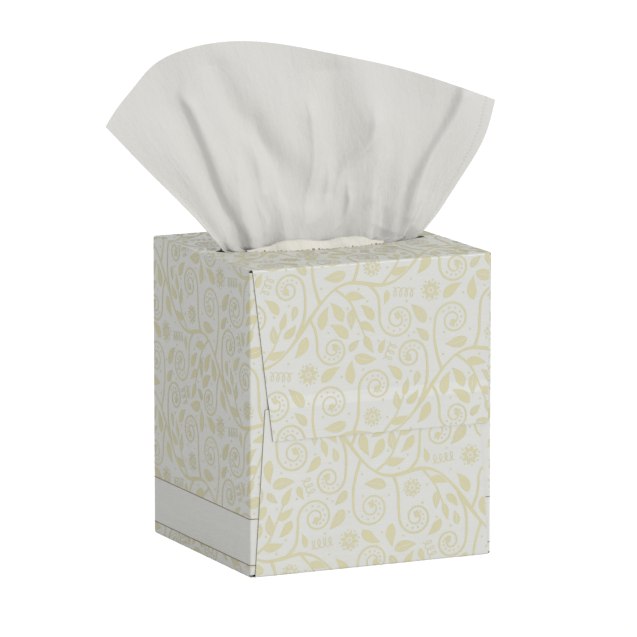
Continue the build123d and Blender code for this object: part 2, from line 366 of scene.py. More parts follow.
def stem(points, thick, thin):
    """A curved stem through a few points: a smooth blend of them, thick at its foot and thin at its tip."""
    points = np.asarray(points, float)
    where = np.linspace(0, len(points) - 1, 160)
    near = np.clip(where.astype(int), 0, len(points) - 2)
    part = (where - near)[:, None]
    before = points[np.maximum(near - 1, 0)]
    a, b = points[near], points[near + 1]
    after = points[np.minimum(near + 2, len(points) - 1)]
    square, cube = 2 * before - 5 * a + 4 * b - after, 3 * a - before - 3 * b + after
    smooth = even(a + 0.5 * ((b - before) * part + square * part**2 + cube * part**3))
    stroke(smooth, np.linspace(thick, thin, len(smooth)))
    return smooth


def leafy(points, thick, sizes, first):
    """A stem with leaves at its sides by turns and one at its tip. Every third leaf has an open midrib."""
    curve = stem(points, thick, 0.3)
    for k, long in enumerate(sizes):
        i = int((k + 0.8) / (len(sizes) + 0.6) * (len(curve) - 1))
        dx, dy = curve[min(i + 2, len(curve) - 1)] - curve[i - 2]
        side = first if k % 2 == 0 else -first
        heading = np.degrees(np.arctan2(dy, dx)) + side * 44
        leaf(*curve[i], heading, long, long * 0.46, -0.2 * side, slit=k % 3 == 1)
    dx, dy = curve[-1] - curve[-4]
    leaf(*curve[-1], np.degrees(np.arctan2(dy, dx)), sizes[-1] * 1.05, sizes[-1] * 0.44, 0.1)


def flower(x, y, radius, petals):
    """Petals around a centre, with a ring of dots between them."""
    for k in range(petals):
        turn = 360 / petals * k + 12
        c, s = np.cos(np.radians(turn)), np.sin(np.radians(turn))
        leaf(x + 1.2 * c, y + 1.2 * s, turn, radius * 0.85, radius * 0.5, 0.0)
        away = np.radians(turn + 180 / petals)
        dot(x + radius * 1.15 * np.cos(away), y + radius * 1.15 * np.sin(away), 0.9)
    dot(x, y, 1.5)


def coil(x, y, angle, loops, pitch, radius):
    """A coiled tendril: a point on a circle that rolls along a line. Each half loop is a stroke of its
    own, so that the loops can lie at different heights where they cross."""
    turn = np.linspace(0, 2 * np.pi * loops, 60 * loops)
    flat = np.stack([pitch * turn / (2 * np.pi) + radius * 0.6 * np.sin(turn), radius * np.cos(turn)], axis=1)
    path = even(turned(flat, np.radians(angle)) + (x, y), 0.4)
    cuts = np.linspace(0, len(path) - 1, 2 * loops + 1).astype(int)
    for first, last in zip(cuts[:-1], cuts[1:]):
        stroke(path[first:last + 1], 0.2)


# %% [markdown]
# The tile's main line is a vine that climbs from its left side to its right side, by just the half tile
# that the next column is higher, so that it goes on for ever. Spirals, leafy twigs, flowers and coils grow
# from it on both sides.

# %% Draw the tile
run = np.linspace(0, 1, 200)
vine = even(np.stack([TILE_WIDE * run, 8 + TILE_HIGH / 2 * run + 7 * np.sin(2 * np.pi * run)], axis=1))
stroke(vine, 0.66 + 0.2 * np.cos(4 * np.pi * np.linspace(0, 1, len(vine))))
stem([(6.8, 16.6), (4.4, 24), (3.2, 31), (3.5, 38)], 0.7, 0.5)
spiral(12, 38, 8.5, 180, 1.75, -1)
stem([(22, 24.7), (24.2, 31), (24.6, 38), (25, 44)], 0.65, 0.5)
spiral(33, 44, 8.0, 180, 1.7, -1)
stem([(29, 24), (33.4, 19), (34.4, 13), (34.5, 8)], 0.7, 0.5)
spiral(43, 8, 8.5, 180, 1.75, 1)
stem([(53, 35.3), (56.3, 43), (57, 50), (56.5, 56)], 0.65, 0.5)
spiral(49, 56, 7.5, 0, 1.6, 1)
stem([(2, 11), (4.4, 6), (5.4, 1), (5.5, -3)], 0.65, 0.5)
spiral(13, -3, 7.5, 180, 1.6, 1)
leafy([(36, 23.6), (42, 31), (45.6, 39)], 0.5, (8.4, 7.6), -1)
leafy([(14, 22.5), (20.5, 17), (24.5, 9), (27.5, 2)], 0.55, (9.4, 8.8, 8.4), 1)
flower(1.5, 51.2, 3.9, 8)
flower(31.0, 31.0, 3.3, 8)
coil(40.5, 19.8, -6, 4, 2.6, 1.9)
coil(38, 54.5, 66, 3, 2.7, 1.9)
print(len(strokes), "strokes before the filling")

# %% [markdown]
# The gaps are filled the way a pattern drawer fills them: a leaf goes wherever there is room for one,
# largest first. A small map of the tile remembers which squares are taken.


# %% Fill the gaps with leaves
CELL, MARGIN = 0.5, 0.8
taken = np.zeros((int(TILE_WIDE / CELL), int(TILE_HIGH / CELL)), bool)


def cells(points):
    """The squares of the tile that points fall in. A column of tiles to the right lies half a tile higher."""
    points = np.asarray(points).reshape(-1, 2)
    column = np.floor(points[:, 0] / TILE_WIDE)
    up = points[:, 1] - column * TILE_HIGH / 2
    i = ((points[:, 0] - column * TILE_WIDE) / CELL).astype(int) % taken.shape[0]
    return i, (np.mod(up, TILE_HIGH) / CELL).astype(int) % taken.shape[1]


def mark(points):
    """Marks the squares of points and of two rings of eight places round each of them."""
    points = np.asarray(points).reshape(-1, 2)
    turn = np.radians(np.arange(0, 360, 45))
    ring = MARGIN * np.stack([np.cos(turn), np.sin(turn)], axis=1)
    around = np.concatenate([[(0, 0)], ring, ring / 2])
    taken[cells(points[:, None] + around)] = True


# The length of each leaf and how many places are tried for it; the last kind is so short that it is a dot
FILLING = ((10.0, 1600), (8.8, 1600), (7.6, 1400), (6.2, 700), (1.0, 240))
POINTS_DOWN, OPEN_MIDRIB = 0.25, 0.35
for one in strokes:
    mark(one)
for long, tries in FILLING:
    for _ in range(tries):
        x, y = seed.uniform(0, TILE_WIDE), seed.uniform(0, TILE_HIGH)
        angle = seed.uniform(20, 160) + (180 if seed.random() < POINTS_DOWN else 0)
        count = len(strokes)
        if long > 2:
            leaf(x, y, angle, long, long * 0.5, seed.choice([-0.3, 0.3]), slit=seed.random() < OPEN_MIDRIB)
        else:
            dot(x, y, long)
        new = np.concatenate([one.reshape(-1, 2) for one in strokes[count:]])
        if taken[cells(new)].any():
            del strokes[count:]
        else:
            mark(new)
print(len(strokes), "strokes in the tile;", round(float(taken.mean()), 2), "of it taken")

# %% Join the strokes into one flat pattern
flat_points = np.concatenate([one.reshape(-1, 2) for one in strokes])
starts = np.cumsum([0] + [one.shape[0] * one.shape[1] for one in strokes[:-1]])
flat_faces = np.concatenate([grid_faces(*one.shape[:2]) + start for one, start in zip(strokes, starts)])
# Strokes that cross lie at heights that differ by a few thousandths of a millimetre, so that no two share a
# plane
LIFT, LIFT_STEP, LIFTS = 0.032, 0.002, 20
heights = LIFT + LIFT_STEP * (np.arange(len(strokes)) % LIFTS)
flat_lift = np.repeat(heights, [one.shape[0] * one.shape[1] for one in strokes])
print("the tile has", len(flat_points), "points and", len(flat_faces), "faces")

# %% [markdown]
# ## Folding the print onto the carton
# The flat pattern is bent over the same rounded creases as the board. A distance across a crease becomes,
# in turn, a length of flat panel, a quarter of a circle and a length of the panel round the corner.


# %% Bend a distance over a crease
def crease(distance, panel):
    """Place and drop of a point at a distance from a panel's middle: straight, then a quarter circle,
    then down. Also the outward direction there, as its parts along the panel and away from it."""
    side = np.sign(distance)
    past = np.abs(distance) - panel
    turn = np.clip(past / FOLD, 0, np.pi / 2)
    down = np.maximum(past - ARC, 0)
    place = side * (np.minimum(np.abs(distance), panel) + FOLD * np.sin(turn))
    return place, FOLD * (1 - np.cos(turn)) + down, side * np.sin(turn), np.cos(turn)


END_PANEL = FRONT_LOWER - FOLD
SIDE_PANEL = WIDTH / 2 - FOLD


def onto_cap(u, v, lift):
    """The chart of the top panel and both upper flaps. An upper flap steps out where it covers the lower
    one."""
    x, drop_x, nx, sx = crease(u, SIDE_PANEL)
    y, drop_y, ny, sy = crease(v, END_PANEL)
    z = HEIGHT - drop_x - drop_y
    step = (FRONT_UPPER - FRONT_LOWER) * np.clip((LOWER_REACH + RAMP - z) / RAMP, 0, 1)
    y = y + np.sign(v) * step * (np.abs(v) > END_PANEL + ARC)
    return np.stack([x + lift * nx, y + lift * ny, z + lift * np.minimum(sx, sy)], axis=1)


def onto_base(u, v, lift):
    """The chart of the bottom panel and both lower flaps."""
    points = onto_cap(u, v, lift)
    x, drop_x, nx, sx = crease(u, SIDE_PANEL)
    y, drop_y, ny, sy = crease(v, END_PANEL)
    return np.stack([x + lift * nx, y + lift * ny, drop_x + drop_y - lift * np.minimum(sx, sy)], axis=1)


def onto_side(u, v, hand, lift):
    """The chart of a side panel and its dust flaps: hand is -1 for the left panel and 1 for the right one."""
    y, drop_y, ny, sy = crease(u, FRONT_DUST - FOLD)
    z, drop_z, nz, sz = crease(v - HEIGHT / 2, HEIGHT / 2 - FOLD)
    across = WIDTH / 2 - drop_y - drop_z + lift * np.minimum(sy, sz)
    return np.stack([hand * across, y + lift * ny, z + HEIGHT / 2 + lift * nz], axis=1)


# %% [markdown]
# Each chart keeps only the faces that lie on its own board: not in the opening, not past a flap's slanted
# edge, and not on the bare band.


# %% What each chart keeps
INK_MARGIN, SEAM_MARGIN, RIM_MARGIN, BAND_MARGIN = 0.15, 0.1, 0.3, 0.4
TEST_LIFT = 0.035  # the height over the board at which the middle of a face is tested
BAND_LOW, BAND_HIGH = 5.3, 25.1
# The strip of dust flap that shows: its width, and its distance from the flap's two ends
STRIP, STRIP_END = 10.5, 1.4


def rim(x):
    """Half the opening's width at x: a parabola that is full at the middle and zero at the two ends."""
    return OPENING_WIDE * (1 - (x / OPENING_LONG) ** 2)


def between_edges(x, along, insets, tapers):
    """Whether x lies between a flap's slanted edges, at a share of the way from its crease to its free
    edge."""
    left = -WIDTH / 2 + insets[0] + tapers[0] * along + INK_MARGIN
    right = WIDTH / 2 - insets[1] - tapers[1] * along - INK_MARGIN
    return (x > left) & (x < right)


def keep_cap(u, v, at):
    """Faces on the top panel outside the opening, and on the upper flaps between their slanted edges."""
    x, y, z = at.T
    past_rim = (np.abs(y) > rim(x) + RIM_MARGIN) | (np.abs(x) > OPENING_LONG)
    on_top = (np.abs(u) < SIDE_PANEL + ARC / 2) & past_rim
    down = (HEIGHT - z) / UPPER_REACH
    on_flap = between_edges(x, down, UPPER_INSETS, UPPER_TAPERS) & (z > SEAM_HEIGHT + INK_MARGIN)
    return np.where(np.abs(v) < END_PANEL, on_top, on_flap)


def keep_base(u, v, at):
    """Faces on the bottom panel, and on the lower flaps up to where the upper ones cover them."""
    x, y, z = at.T
    on_flap = between_edges(x, z / LOWER_REACH, LOWER_INSETS, LOWER_TAPERS) & (z < SEAM_HEIGHT - SEAM_MARGIN)
    return np.where(np.abs(v) < END_PANEL, np.abs(u) < SIDE_PANEL + ARC / 2, on_flap)


def keep_side(u, v, at):
    """Faces on a side panel above and below the bare band, and on the strip of dust flap that shows."""
    bare = (v > BAND_LOW - BAND_MARGIN) & (v < BAND_HIGH + BAND_MARGIN)
    height = (v > FOLD - ARC / 2) & (v < HEIGHT - FOLD + ARC / 2)
    past = np.abs(u) - (FRONT_DUST - FOLD) - ARC / 2
    on_strip = (past < STRIP) & (v > STRIP_END) & (v < HEIGHT - STRIP_END)
    return ~bare & height & ((past < 0) | on_strip)


# %% Lay the tiles and fold them
def ink_finish():
    """Matt beige ink that lets a little of the board's streaks through."""
    ink = Finish("beige_ink")
    at = ink.place()
    cloud = ink.noise(at, 60.0, 3.0)
    grain = ink.noise(at, 1500.0, 2.0)
    sheen_streak = ink.noise(ink.stretched(at, (12.0, 12.0, 900.0)), 1.0, 2.0)
    ink.give(Base_Color=ink.mix(cloud * 0.6 + grain * 0.4, colour(205, 199, 161), colour(218, 213, 179)))
    ink.give(Roughness=0.5 + grain * 0.2, Specular_IOR_Level=0.4)
    ink.give(Normal=ink.bump(sheen_streak * 0.7 + grain * 0.3, 0.00005, 0.5))
    return ink.material


def outward(points, faces):
    """The faces, turned round where they face the middle of the box."""
    a, b, c = (points[faces[:, k]] for k in (0, 1, 2))
    facing = np.cross(b - a, c - a)
    centre = points[faces].mean(axis=1)
    inward = (facing * (centre - MIDDLE)).sum(axis=1) < 0
    return np.where(inward[:, None], faces[:, ::-1], faces)


def printed(name, chart, keep, reach_u, reach_v, origin, finish):
    """Repeats the tile over a chart, folds it on, and drops the faces that its board doesn't carry.
    Neighbouring tiles lie half a step of lift apart, because the vine's ends meet there."""
    points, lifts, faces = [], [], []
    first = int(np.floor((-reach_u - origin[0]) / TILE_WIDE)) - 1
    last = int(np.ceil((reach_u - origin[0]) / TILE_WIDE)) + 1
    for i in range(first, last):
        shift = i * TILE_HIGH / 2
        low = int(np.floor((reach_v[0] - origin[1] - shift) / TILE_HIGH)) - 1
        high = int(np.ceil((reach_v[1] - origin[1] - shift) / TILE_HIGH)) + 1
        for j in range(low, high):
            moved = flat_points + (origin[0] + i * TILE_WIDE, origin[1] + shift + j * TILE_HIGH)
            sideways, up = moved[flat_faces].mean(axis=1).T
            inside = (np.abs(sideways) < reach_u) & (up > reach_v[0]) & (up < reach_v[1])
            faces.append(flat_faces[inside] + len(points) * len(flat_points))
            points.append(moved)
            lifts.append(flat_lift + LIFT_STEP / 2 * ((i + j) % 2))
    flat, lift, faces = np.concatenate(points), np.concatenate(lifts), np.concatenate(faces)
    centre = flat[faces].mean(axis=1)
    faces = faces[keep(*centre.T, chart(*centre.T, TEST_LIFT))]
    used, faces = np.unique(faces, return_inverse=True)
    folded = chart(*flat[used].T, lift[used])
    faces = outward(folded, faces.reshape(-1, 4))
    piece = surface(name, folded, faces, finish, False)
    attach(piece, "root")


def onto_left(u, v, lift):
    """The chart of the left panel."""
    return onto_side(u, v, -1, lift)


def onto_right(u, v, lift):
    """The chart of the right panel."""
    return onto_side(u, v, 1, lift)


ink = ink_finish()
FLAP_DROP = END_PANEL + ARC - FOLD
TOP_REACH = FLAP_DROP + UPPER_REACH + 1.2
FOOT_REACH = FLAP_DROP + SEAM_HEIGHT + 0.8
# Each call says how far the pattern reaches sideways and up and down, a little past the board, and where a
# tile starts
printed("print_top_and_flaps", onto_cap, keep_cap, 57.5, (-TOP_REACH, TOP_REACH), (-31.0, -20.0), ink)
printed("print_foot_and_flaps", onto_base, keep_base, 57.5, (-FOOT_REACH, FOOT_REACH), (-12.0, 14.0), ink)
printed("print_left", onto_left, keep_side, 62.0, (0.0, HEIGHT), (-22.0, 8.0), ink)
printed("print_right", onto_right, keep_side, 51.5, (0.0, HEIGHT), (-40.0, -12.0), ink)

# %% [markdown]
# ## The band's lines and the torn perforation
# Two thin brown lines bound the bare band on each side panel, and run on to the strip of dust flap at the
# front. Along the opening's rim the board tore from cut to cut, which leaves a row of small brown fibres
# that stand up a little.


# %% The two lines of the band
def line_finish(name, dark, pale):
    """A thin printed or torn line, uneven at the scale of the board's fibres."""
    line = Finish(name)
    grain = line.noise(line.place(), 1200.0, 3.0)
    line.give(Base_Color=line.mix(grain, dark, pale), Roughness=0.6, Normal=line.bump(grain, 0.00003, 0.6))
    return line.material


LINE_HALF, LINE_LIFT = 0.19, 0.045  # half the line's width, and its height over the board
band_ink = line_finish("band_ink", colour(118, 92, 44), colour(150, 124, 74))
for side_name, hand, run_on in (("left", -1, 9.0), ("right", 1, 1.5)):
    reach = FRONT_DUST - FOLD + ARC + run_on
    u = np.linspace(-reach, reach, 420)
    for height_name, height in (("low", BAND_LOW), ("high", BAND_HIGH)):
        uu, vv = np.meshgrid(u, [height - LINE_HALF, height + LINE_HALF])
        points = onto_side(uu.ravel(), vv.ravel(), hand, LINE_LIFT)
        faces = outward(points, grid_faces(2, len(u)))
        piece = surface(f"band_line_{side_name}_{height_name}", points, faces, band_ink)
        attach(piece, "root")

# %% The torn fibres along the rim
NICKS, NICK_REACH = 46, 45.0  # on each side of the opening, and how far along it they go
NICK_STRAY = 0.6  # how far each strays from its place
NICK_HALVES = (0.3, 0.9)  # the least and the most of its half length
NICK_LEAST, NICK_MORE = 0.12, 0.6  # most stand up by little more than the least, and a few by much more
NICK_OUT, NICK_LEAN = 0.15, 0.12  # how far outside the rim they start, and how far they lean over it
steps = np.linspace(-NICK_REACH, NICK_REACH, NICKS)
nick_x = np.concatenate([steps + seed.uniform(-NICK_STRAY, NICK_STRAY, NICKS) for _ in range(2)])
nick_side = np.repeat([-1, 1], NICKS)
nick_long = seed.uniform(*NICK_HALVES, 2 * NICKS)
nick_up = NICK_LEAST + NICK_MORE * seed.random(2 * NICKS) ** 3
corners = np.array([(-1, 0), (1, 0), (0.6, 1), (-0.7, 1)])
corner_x = nick_x[:, None] + corners[:, 0] * nick_long[:, None]
corner_y = nick_side[:, None] * (rim(corner_x) + NICK_OUT - NICK_LEAN * corners[:, 1])
corner_z = HEIGHT + corners[:, 1] * nick_up[:, None]
nick_points = np.stack([corner_x, corner_y, corner_z], axis=2).reshape(-1, 3)
nick_faces = outward(nick_points, np.arange(8 * NICKS).reshape(-1, 4))
torn = line_finish("torn_board", colour(120, 100, 66), colour(172, 156, 122))
nicks = surface("torn_nicks", nick_points, nick_faces, torn)
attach(nicks, "root")

# %% [markdown]
# ## The sheets
# A tissue has almost no stiffness, so its shape is all in how it is held. The drawn one is squeezed into a
# narrow neck by the opening and spreads above it like a fan: its outline is a patch between four edge
# curves, and gathers wave it to and fro so that each level keeps the sheet's width. Below the opening it
# opens out again and lies on the stack.


# %% Smooth curves through points
def smooth_curve(points, share):
    """Points at shares of the length of a natural cubic spline through the given points, whose parameter
    is the chord length. Its second derivatives come from one set of linear equations."""
    points = np.asarray(points, float)
    t = np.concatenate([[0], np.cumsum(np.linalg.norm(np.diff(points, axis=0), axis=1))])
    h = np.diff(t)
    n = len(points)
    matrix = np.eye(n)
    right = np.zeros_like(points)
    inner = np.arange(1, n - 1)
    matrix[inner, inner - 1], matrix[inner, inner + 1] = h[:-1], h[1:]
    matrix[inner, inner] = 2 * (h[:-1] + h[1:])
    right[inner] = 6 * np.diff(np.diff(points, axis=0) / h[:, None], axis=0)
    bend = np.linalg.solve(matrix, right)

    def at(s):
        k = np.clip(np.searchsorted(t, s, side="right") - 1, 0, n - 2)
        a, b = (t[k + 1] - s)[:, None], (s - t[k])[:, None]
        w = h[k][:, None]
        straight = (points[k] / w - bend[k] * w / 6) * a + (points[k + 1] / w - bend[k + 1] * w / 6) * b
        return straight + bend[k] * a**3 / (6 * w) + bend[k + 1] * b**3 / (6 * w)

    fine = np.linspace(0, t[-1], 600)
    far = np.concatenate([[0], np.cumsum(np.linalg.norm(np.diff(at(fine), axis=0), axis=1))])
    return at(np.interp(np.asarray(share) * far[-1], far, fine))


# %% The fan's outline, gathers and creases
SHEET_WIDE, SHEET_LONG, PLIES = 208.0, 200.0, 0.2
NECK_LEFT, NECK_RIGHT, NECK_BACK = -45.5, 46.6, 3.6
# Places on these edges and along the creases were picked by eye in the picture, and a small program
# carried most of them through this lesson's camera into millimetres
TOP_EDGE = [
    (-99.4, 187.4), (-93.8, 194.9), (-86.0, 203.0), (-77.6, 211.4), (-53.9, 219.9), (4.4, 213.0),
    (37.4, 204.7), (56.6, 198.4), (84.0, 188.2),
]
LEFT_EDGE = [(NECK_LEFT, HEIGHT), (-58.5, 146.6), (-76.2, 164.0), TOP_EDGE[0]]
RIGHT_EDGE = [(NECK_RIGHT, HEIGHT), (56.5, 140.7), (68.0, 156.0), (78.9, 173.2), TOP_EDGE[-1]]
GATHERS = 6
BUNCHING = 0.09  # how much more of the sheet's width is gathered at the neck's two ends than in its middle
# Depths of the finest folds, of the wide waves near the top, and of the whole bow
PUCKER, SWAY, BOW = 0.3, 1.1, 7.0
# The share of the gathers' depth that is kept everywhere, and the further share at the neck
KEPT_SHARE, NECK_SHARE = 0.1, 0.66
print("the neck is", NECK_RIGHT - NECK_LEFT, "mm wide for a sheet of", SHEET_WIDE)

# Each crease: its points from the top down, how far it stands out, how wide it is, and how sharp
CREASES = [
    ([(-64.6, 198.1), (-56.4, 181.4), (-50.4, 167.0), (-42.6, 148.9), (-33.0, 134.0)], 3.4, 5.0, 1.0),
    ([(-51.6, 214.8), (-41.5, 194.6), (-26.2, 176.2), (-13.1, 162.0), (-4.0, 146.0)], -2.2, 7.0, 0.0),
    ([(-5.6, 190.0), (-4.2, 161.5), (-6.5, 151.2), (-8.0, 138.0)], 3.0, 4.0, 0.5),
    ([(4.8, 209.6), (7.6, 168.1), (6.0, 150.0)], -2.6, 9.0, 0.0),
    ([(24.0, 186.0), (21.9, 174.1), (11.4, 163.1), (8.0, 150.0)], 3.0, 4.5, 0.5),
    ([(66.0, 195.0), (63.9, 188.5), (53.4, 170.0), (42.9, 151.5), (39.1, 137.4)], 3.6, 5.0, 1.0),
    ([(13.8, 153.2), (12.9, 141.7), (7.7, 134.7)], 2.1, 2.0, 0.8),
    ([(-30.0, 152.0), (-27.0, 143.0), (-24.0, 134.0)], 1.5, 2.6, 0.5),
    ([(28.0, 156.0), (30.0, 145.0), (31.0, 135.0)], -1.6, 2.8, 0.4),
    ([(-32.5, 177.6), (-28.8, 163.7), (-27.0, 151.5)], 1.8, 3.6, 0.5),
    ([(5.0, 162.4), (3.2, 150.4), (-1.6, 139.5)], 2.0, 3.4, 0.5),
    ([(31.1, 169.4), (26.9, 157.5), (22.1, 146.1)], 1.7, 4.0, 0.4),
    ([(23.0, 138.6), (31.0, 134.8), (39.3, 131.3)], 1.8, 3.4, 0.6),
    ([(-31.5, 189.6), (-26.9, 176.4), (-19.3, 161.3), (-15.7, 148.6)], -2.0, 5.0, 0.3),
    ([(-39.0, 167.3), (-39.5, 156.6), (-38.2, 145.8)], 1.6, 3.2, 0.4),
    ([(-27.0, 146.3), (-24.9, 141.0), (-26.7, 135.1)], 1.4, 1.6, 0.7),
]


def folds(x, z):
    """The depth that the creases add: each is a ridge whose height falls with distance from its line, or
    a step with one steep side, and it fades above its upper end and below its lower end."""
    depth = np.zeros_like(x)
    for line, height, wide, sharp in CREASES:
        path = smooth_curve(line, np.linspace(0, 1, 60))
        low, high = path[-1, 1], path[0, 1]
        line_x = np.interp(z.ravel(), path[::-1, 1], path[::-1, 0]).reshape(z.shape)
        away = (x - line_x) / wide
        ridge = np.exp(-(away**2))
        step = np.tanh(3 * away) * np.exp(-(np.abs(away) / 1.6))
        fade = np.clip((high + 10 - z) / 14, 0, 1) * np.clip((z - low + 6) / 8, 0, 1)
        depth += height * fade**2 * ((1 - sharp) * ridge + sharp * (0.45 * ridge + 0.75 * step))
    return depth


def lens_share(x):
    """How wide the opening is at x, as a share of its width at the middle."""
    return np.clip(rim(x) / OPENING_WIDE, 0, 1)


def gathers(s):
    """A wave from about -1 to 1 across the sheet: two sines of unlike pitch, so that no two folds are
    alike."""
    wide = np.sin(2 * np.pi * GATHERS * s + 1.6 * np.sin(2 * np.pi * s) + 0.7 * np.sin(6 * np.pi * s))
    narrow = np.sin(2 * np.pi * 1.7 * GATHERS * s + 2.4 * np.sin(2 * np.pi * s + 1) + 0.8)
    return 0.68 * wide + 0.42 * narrow * (0.5 + 0.5 * np.sin(2 * np.pi * 1.4 * s))


def fan(s, t):
    """The sheet above the box. A patch between its four edges gives x and z: the blend from left to
    right, plus the blend from bottom to top, less what both count twice. The depth is the gathers, the
    creases and a slight bow."""
    high = smooth_curve(TOP_EDGE, s)[None]
    left, right = (smooth_curve(edge, t)[:, None] for edge in (LEFT_EDGE, RIGHT_EDGE))
    bunched = s - BUNCHING * np.sin(2 * np.pi * s)
    low = np.stack([NECK_LEFT + (NECK_RIGHT - NECK_LEFT) * bunched, np.full_like(s, HEIGHT)], axis=1)[None]
    u, v = s[None, :, None], t[:, None, None]
    level = (1 - v) * low + v * high
    flat = level + (1 - u) * (left - level[:, :1]) + u * (right - level[:, -1:])
    x, z = flat[:, :, 0], flat[:, :, 1]
    wide = np.linalg.norm(np.diff(flat, axis=1), axis=2).sum(axis=1)[:, None]
    fullness = np.clip(SHEET_WIDE / wide, 1, 2.2)
    depth = wide / (np.pi * GATHERS) * np.sqrt(fullness - 1)
    room = np.maximum(lens_share(x), np.minimum(3 * t[:, None], 1))
    fine = PUCKER * np.sin(2 * np.pi * 19 * s + 3 * np.sin(5 * s)) * np.exp(-t / 0.16)[:, None]
    fine = fine + SWAY * np.sin(2 * np.pi * 3.3 * s + 5.0 * t[:, None]) * t[:, None]
    bow = BOW * t[:, None] ** 2 * (x / SHEET_WIDE) ** 2
    calm = KEPT_SHARE + NECK_SHARE * np.exp(-((t / 0.3) ** 1.3))[:, None]
    y = (NECK_BACK * (1 - t[:, None]) + depth * gathers(s) * calm + fine) * room + bow
    y = y - folds(x, z) * np.clip(4 * t[:, None], 0, 1)
    return np.stack([x, y, z], axis=2)


# %% [markdown]
# Inside, the stack is an arch, and the sheets lie on it in layers. A sheet's row is given by how far back
# it lies, how high above the crown it is, how far it reaches to each side, and how much it rests on the
# arch.

# %% Rows inside the box
CLIP_HEIGHT, CLIP_CROWN = 111.5, 42.0
LAYER, WALL_GAP = 0.65, 0.35
CLIP_HALF = WIDTH / 2 - BOARD - 5 * LAYER
CLIP_DEEP = FRONT_DUST - BOARD - WALL_GAP
HEADROOM = HEIGHT - BOARD - CLIP_HEIGHT
TOP_LAYER = 4 * LAYER
DRAWN_ROWS = [
    (0.07, 0.9, 0.405, 0.02, 0.17), (0.09, 0.76, 0.42, 0.05, 0.17), (0.15, 0.64, 0.45, 0.12, 0.15),
    (0.24, 0.56, 0.5, 0.22, 0.12), (0.34, 0.515, 0.56, 0.36, 0.09), (0.43, 0.49, 0.62, 0.52, 0.06),
    (0.5, 0.455, 0.67, 0.68, 0.035), (0.545, 0.38, 0.7, 0.82, 0.015), (0.56, 0.27, 0.72, 0.93, 0),
    (0.54, 0.14, 0.74, 1, 0), (0.49, 0.1, 0.76, 1, 0), (0.42, 0.075, 0.78, 1, 0), (0.25, 0.07, 0.82, 1, 0),
    (0, 0.07, 0.87, 1, 0), (-0.3, 0.07, 0.91, 1, 0), (-0.6, 0.07, 0.94, 1, 0), (-0.9, 0.07, 0.96, 1, 0),
]
NEXT_ROWS = [
    (-0.015, 1.1, 0.31, 0.3, 0.05), (-0.02, 1.38, 0.31, 0.3, 0.04), (-0.035, 1.56, 0.31, 0.3, 0.03),
    (-0.06, 1.615, 0.31, 0.3, 0.03), (-0.1, 1.58, 0.31, 0.3, 0.04), (-0.17, 1.45, 0.32, 0.3, 0.05),
    (-0.25, 1.31, 0.34, 0.32, 0.07), (-0.34, 1.16, 0.41, 0.38, 0.1), (-0.43, 0.99, 0.5, 0.48, 0.11),
    (-0.53, 0.8, 0.62, 0.6, 0.09), (-0.64, 0.656, 0.72, 0.75, 0.06), (-0.74, 0.53, 0.8, 0.88, 0.03),
    (-0.83, 0.1, 0.86, 1, 0), (-0.88, 0.1, 0.87, 1, 0), (-0.9, 0.06, 0.93, 1, 0),
    (-0.88, 0.034, 0.97, 1, 0), (-0.8, 0.034, 0.98, 1, 0), (-0.6, 0.034, 0.985, 1, 0),
    (-0.2, 0.034, 0.99, 1, 0), (0.2, 0.034, 0.99, 1, 0), (0.6, 0.034, 0.99, 1, 0),
    (0.93, 0.034, 0.99, 1, 0), (0.945, 0.03, 0.99, 1, 0), (0.945, 0.018, 0.99, 1, 0),
    (0.93, 0.014, 0.99, 1, 0), (0.4, 0.014, 0.99, 1, 0), (-0.1, 0.014, 0.99, 1, 0),
]


def arch(along):
    """Place and outward direction on the stack's outside, at a length each way from its crown: a quarter
    ellipse on each side, and straight down below it."""
    turn = np.linspace(0, np.pi / 2, 721)
    ex, ez = CLIP_HALF * np.sin(turn), CLIP_HEIGHT - CLIP_CROWN + CLIP_CROWN * np.cos(turn)
    far = np.concatenate([[0], np.cumsum(np.hypot(np.diff(ex), np.diff(ez)))])
    length, side = np.abs(along), np.sign(along)
    angle = np.interp(length, far, turn)
    nx, nz = np.sin(angle) / CLIP_HALF, np.cos(angle) / CLIP_CROWN
    size = np.hypot(nx, nz)
    below = np.maximum(length - far[-1], 0)
    place = (side * np.interp(length, far, ex), np.interp(length, far, ez) - below)
    return *place, side * nx / size, nz / size


def inside(s, rows, middle, count, folded):
    """The sheet inside the box: rows blended evenly from the given ones, each between a level line and
    the arch, and waved square to the way the sheet runs."""
    rows = np.array(rows, float) * (CLIP_DEEP, HEADROOM, SHEET_WIDE / 2, 1, HEADROOM)
    far = np.concatenate([[0], np.cumsum(np.hypot(*np.diff(rows[:, :2], axis=0).T))])
    rows = np.stack([np.interp(np.linspace(0, far[-1], count), far, column) for column in rows.T], axis=1)
    ahead = np.gradient(rows[:, :2], axis=0)
    ahead /= np.linalg.norm(ahead, axis=1, keepdims=True)
    y, above, reach, rest, wave = (column[:, None] for column in rows.T)
    x, floor, nx, nz = arch(reach * (2 * s - 1)[None])
    raised = np.minimum(above, TOP_LAYER)
    x = x + nx * raised + (1 - rest) ** 3 * middle
    level = rest * (floor + nz * raised) + (1 - rest) * (CLIP_HEIGHT + above)
    pinch = rest + (1 - rest) * lens_share(x)
    depth = wave * folded(s)[None] * pinch
    return np.stack([x, y * pinch - ahead[:, 1:] * depth, level + ahead[:, :1] * depth], axis=2)


# %% [markdown]
# Tissue is soft white paper with a fine crinkle. The crinkle runs mostly across the sheet, so the pattern
# follows the sheet's own length and width, kept on each point as a map, and doesn't slide when the shape
# changes.


# %% The finish of a tissue
DOT_ROW, DOT_HALF = 0.2025, 0.0006  # the row's place and half width, in metres
DOT_PITCH = 3000.0  # radians to the metre


